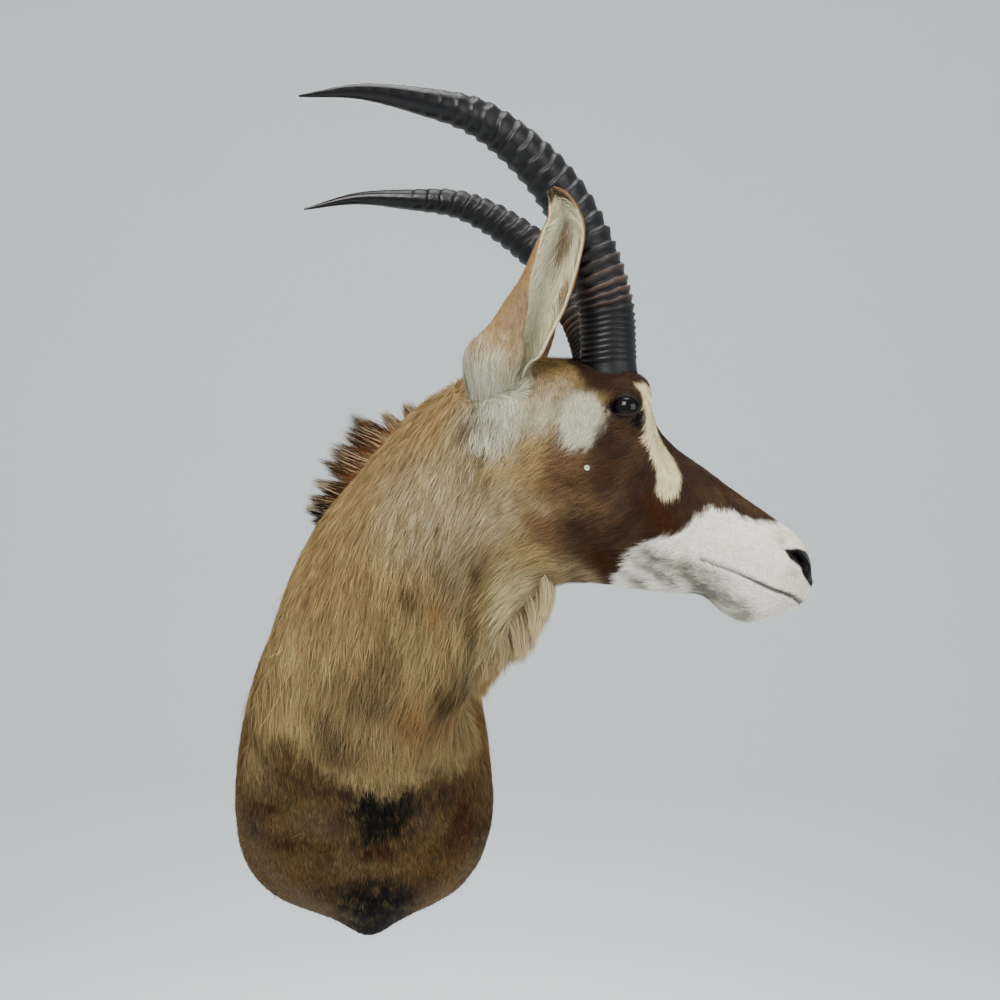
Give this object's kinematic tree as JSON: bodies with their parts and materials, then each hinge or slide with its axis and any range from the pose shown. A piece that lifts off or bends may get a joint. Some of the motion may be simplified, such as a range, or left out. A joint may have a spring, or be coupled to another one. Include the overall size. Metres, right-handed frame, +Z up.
{
  "type": "roan antelope shoulder mount",
  "caption": "Shoulder mount of a roan antelope, head turned to its left, with ringed horns that sweep back, on a flush back board with a keyhole hanger.",
  "frame": {"origin": "middle of the back board's back face, on the wall plane, below the hanger", "axes": "+Z up, +Y into the wall, +X the way the nose points; the chest faces -Y"},
  "size_m": [0.8031, 0.521, 1.1628],
  "materials": {
    "coat": "tanned skin with its hair on, matte",
    "horn": "near-black horn, satin on the rings and polished at the tip",
    "glass_eye": "dark glass, painted behind, polished",
    "plywood": "sanded plywood, bare",
    "zinc": "zinc-plated steel"
  },
  "bodies": {
    "root": {"cape": "coat", "horn_left": "horn", "horn_right": "horn", "eye_left": "glass_eye", "eye_right": "glass_eye", "back_board": "plywood", "hanger_plate": "zinc", "hanger_screw_left": "zinc", "hanger_screw_right": "zinc"}
  },
  "joints": []
}
